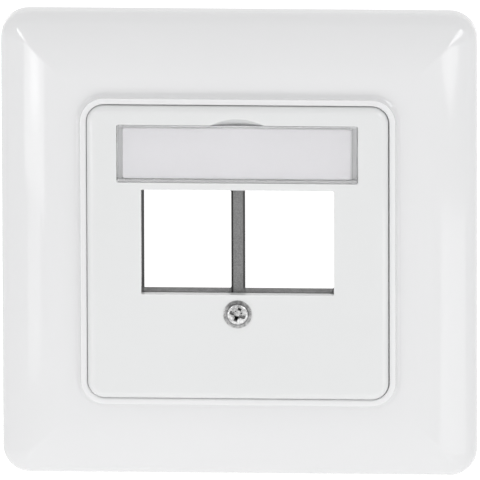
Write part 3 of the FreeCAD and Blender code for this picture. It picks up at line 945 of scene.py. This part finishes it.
# Painted shade and light: the head is painted darker towards its upper edge and lighter towards
# its lower edge.
painted_shade_above = map_range(tree, flat_parts.outputs["Z"], -screw_radius * MM, screw_radius * MM, 1.5, 0.8)
mottle = map_range(tree, spots(tree, 1900, 2.0, 0.5), 0.3, 0.7, 0.6, 1.35)
# The random mottle times the painted recess shade.
mottle_and_recess_shade = math_node(tree, "MULTIPLY", mottle, recess_shade_tone.outputs["Result"])
tone = math_node(tree, "MULTIPLY", mottle_and_recess_shade, painted_shade_above)
both = tree.nodes.new("ShaderNodeVectorMath")
both.operation = "SCALE"
tree.links.new(painted_brim_reflection.outputs["Color"], both.inputs[0])
tree.links.new(tone, both.inputs["Scale"])
tree.links.new(both.outputs["Vector"], shader.inputs["Base Color"])
vary(tree, spots(tree, 1500, 4.0, 0.6), 0.14, 0.3, shader.inputs["Roughness"])
relief(tree, shader, spots(tree, 2200, 4.0, 0.6), TOOL_MARKS)
print("plated steel")

# %% [markdown]
# ## Dress the object
# Every new piece stands for one solid. It takes that solid's body, so the clear cover moves with
# its own body when it is lifted off, and all the others stay with the faceplate.

# %% Put each piece in its solid's place
dress = [
    (frame_moulding, "cover_frame", "frame_plastic", frame_white, "faceplate"),
    (plate_moulding, "centre_plate", "plate_plastic", plate_white, "faceplate"),
    (clear_cover, "label_window", "clear_plastic", clear_plastic, "label_cover"),
    (card_strip, "label_insert", "label_paper", card, "faceplate"),
    (carrier_casting, "module_carrier", "cast_metal", casting, "faceplate"),
    (screw, "cover_screw", "screw_metal", plated, "faceplate"),
]
for piece, node, slot, material, body in dress:
    piece.data.materials.clear()
    piece.data.materials.append(material)
    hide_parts(node)
    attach(piece, body)
    print("%-16s for %-15s on %s" % (piece.name, node, body))

# %% [markdown]
# ## Floor and surroundings
# The faceplate hangs free, a little above a plain pale floor that reaches far enough to be the
# background too. To the camera the floor adds some white of its own, so it reads as white paper
# without more light on the object, and it still takes the shadow.

# %% Floor
FLOOR_DROP = 0.2
FLOOR_REACH = 12.0
FLOOR_GLOW = 0.35


def seen(tree):
    """One for a ray from the camera, or one that comes by way of metal or glass, else nought."""
    ray = tree.nodes.new("ShaderNodeLightPath")
    total = ray.outputs["Is Camera Ray"]
    for kind in ("Is Glossy Ray", "Is Transmission Ray"):
        total = math_node(tree, "ADD", total, ray.outputs[kind])
        total.node.use_clamp = True
    return total


def stage_white(name, glow):
    """Pale stage material that looks white to the camera and in reflections."""
    material, tree, shader = new_finish(name, (0.9, 0.9, 0.9), 0.8)
    shader.inputs["Emission Color"].default_value = (1.0, 1.0, 1.0, 1.0)
    tree.links.new(math_node(tree, "MULTIPLY", seen(tree), glow),
                   shader.inputs["Emission Strength"])
    return material


shape = bmesh.new()
bmesh.ops.create_grid(shape, x_segments=8, y_segments=8, size=FLOOR_REACH)
shape.transform(Matrix.Translation((0, 0, solid_low.z - FLOOR_DROP)))
floor = piece_from("floor", shape)
floor.data.materials.append(stage_white("floor_white", FLOOR_GLOW))
print("floor %.0f mm under the object" % (FLOOR_DROP * 1000))

# %% [markdown]
# ## Light
# Soft white surroundings light the object evenly from all sides, a little less from above than
# from the front. What is seen of them, straight or mirrored, is plain white. Soft boxes stand
# close by on the left and right, and the curved border mirrors them as bright bands. They are
# left out of the diffuse light, so they hardly change the tone of the white. Two more, low in
# front, do the opposite: they light the object from below and can't be seen mirrored.

# %% Surroundings
BRIGHT_SIDE = (0.2, -0.73, -0.65)
world = bpy.data.worlds.new("soft_room")
bpy.context.scene.world = world
world.use_nodes = True
tree = world.node_tree
sky = tree.nodes["Background"]
sky.inputs["Color"].default_value = (1.0, 1.0, 1.0, 1.0)
place = tree.nodes.new("ShaderNodeTexCoord")
facing = tree.nodes.new("ShaderNodeVectorMath")
facing.operation = "DOT_PRODUCT"
facing.inputs[1].default_value = BRIGHT_SIDE
tree.links.new(place.outputs["Generated"], facing.inputs[0])
fade = map_range(tree, facing.outputs["Value"], -1.0, 1.0, 0.83, 1.02)
keep = tree.nodes.new("ShaderNodeMix")
keep.data_type = "FLOAT"
keep.inputs["B"].default_value = 1.0
tree.links.new(seen(tree), keep.inputs["Factor"])
tree.links.new(fade, keep.inputs["A"])
tree.links.new(keep.outputs["Result"], sky.inputs["Strength"])
print("soft room")

# %% [markdown]
# Each soft box is placed by the two ends of its lower edge, by its height, and by the point that
# it faces. A slanting lower edge gives the mirrored band its taper, and on the right two slanting
# boxes side by side make a pointed foot. The two upper boxes are mirrored only by the frame's
# round upper corners, as short streaks along the mitres. The right one is also kept out of the
# light that comes through the clear cover, or it would brighten the strip behind it.

# %% Soft boxes
def soft_box(name, corner, edge_end, height, target, watts):
    """Area lamp on a lower edge from corner to edge_end, facing the target; in millimetres."""
    start, end, aim = (Vector(point) * MM for point in (corner, edge_end, target))
    along = (end - start).normalized()
    away = (start + end) / 2 - aim
    away = (away - along * away.dot(along)).normalized()
    rise = away.cross(along)
    if rise.z < 0:
        along, rise = -along, -rise
    middle = (start + end) / 2 + rise * height * MM / 2
    lamp = bpy.data.lights.new(name, "AREA")
    lamp.shape = "RECTANGLE"
    lamp.size = (end - start).length
    lamp.size_y = height * MM
    lamp.energy = watts
    box = bpy.data.objects.new(name, lamp)
    bpy.context.scene.collection.objects.link(box)
    box.matrix_world = Matrix(((along.x, rise.x, away.x, middle.x),
                               (along.y, rise.y, away.y, middle.y),
                               (along.z, rise.z, away.z, middle.z), (0, 0, 0, 1)))
    box.visible_camera = False
    box.visible_diffuse = False
    print("%-14s %3.0f x %3.0f mm" % (name, lamp.size / MM, height))
    return box


LEFT = (-frame_half, -CROWN_HEIGHT, 0)
RIGHT = (frame_half, -CROWN_HEIGHT, 0)
soft_box("left_window", (-135, -228, -55), (-225, -159, -47), 36, LEFT, 0.025)
soft_box("left_core", (-160, -215, -37), (-201, -185, -37), 24, LEFT, 0.0075)
soft_box("left_low", (-156, -218, -85), (-214, -171, -85), 30, LEFT, 0.0065)
soft_box("right_window_one", (162, -214, -27), (204, -183, -36), 18, RIGHT, 0.0063)
soft_box("right_window_two", (204, -183, -36), (237, -145, -27), 18, RIGHT, 0.0061)
soft_box("right_low", (160, -220, -115), (260, -105, -115), 62, RIGHT, 0.034)
soft_box("left_upper", (-178, -205, 106), (-227, -133, 153), 46, LEFT, 0.086)
right_upper = soft_box("right_upper", (141, -231, 62), (243, -86, 149), 76, RIGHT, 0.22)
right_upper.visible_transmission = False
CEILING = (0, -200, 1000)
reflector = soft_box("reflector", (-400, -200, -235), (400, -200, -235), 500, CEILING, 0.88)
low_card = soft_box("low_card", (-150, -150, -225), (150, -150, -225), 100, (0, 0, 0), 0.055)
for box in (reflector, low_card):
    box.visible_diffuse = True
    box.visible_glossy = False

# %% Camera
AZIMUTH = 2.59
ELEVATION = 14.23
ROLL = -0.164
DISTANCE = 3.367
SHIFT_RIGHT = 0.0253
SHIFT_UP = 0.126
turn, lift, roll = (math.radians(v) for v in (AZIMUTH, ELEVATION, ROLL))
back = Vector((math.sin(turn) * math.cos(lift), -math.cos(turn) * math.cos(lift), math.sin(lift)))
level = Vector((math.cos(turn), math.sin(turn), 0.0))
upright = back.cross(level)
right = level * math.cos(roll) + upright * math.sin(roll)
up = upright * math.cos(roll) - level * math.sin(roll)
lens = bpy.data.cameras.new("long_lens")
lens.sensor_width = 36.0
lens.lens = 1500.0
lens.clip_start = 0.1
lens.clip_end = 50.0
camera = bpy.data.objects.new("camera", lens)
bpy.context.scene.collection.objects.link(camera)
spot = back * DISTANCE - (right * SHIFT_RIGHT + up * SHIFT_UP) * MM
camera.matrix_world = Matrix(((right.x, up.x, back.x, spot.x), (right.y, up.y, back.y, spot.y),
                              (right.z, up.z, back.z, spot.z), (0, 0, 0, 1)))
bpy.context.scene.camera = camera
bpy.context.scene.view_settings.view_transform = "Standard"
print("camera %.2f m away" % DISTANCE)

# %% Print the solids' box and finish
print("solid", [round(v * 1000, 2) for v in (*solid_low, *solid_high)])
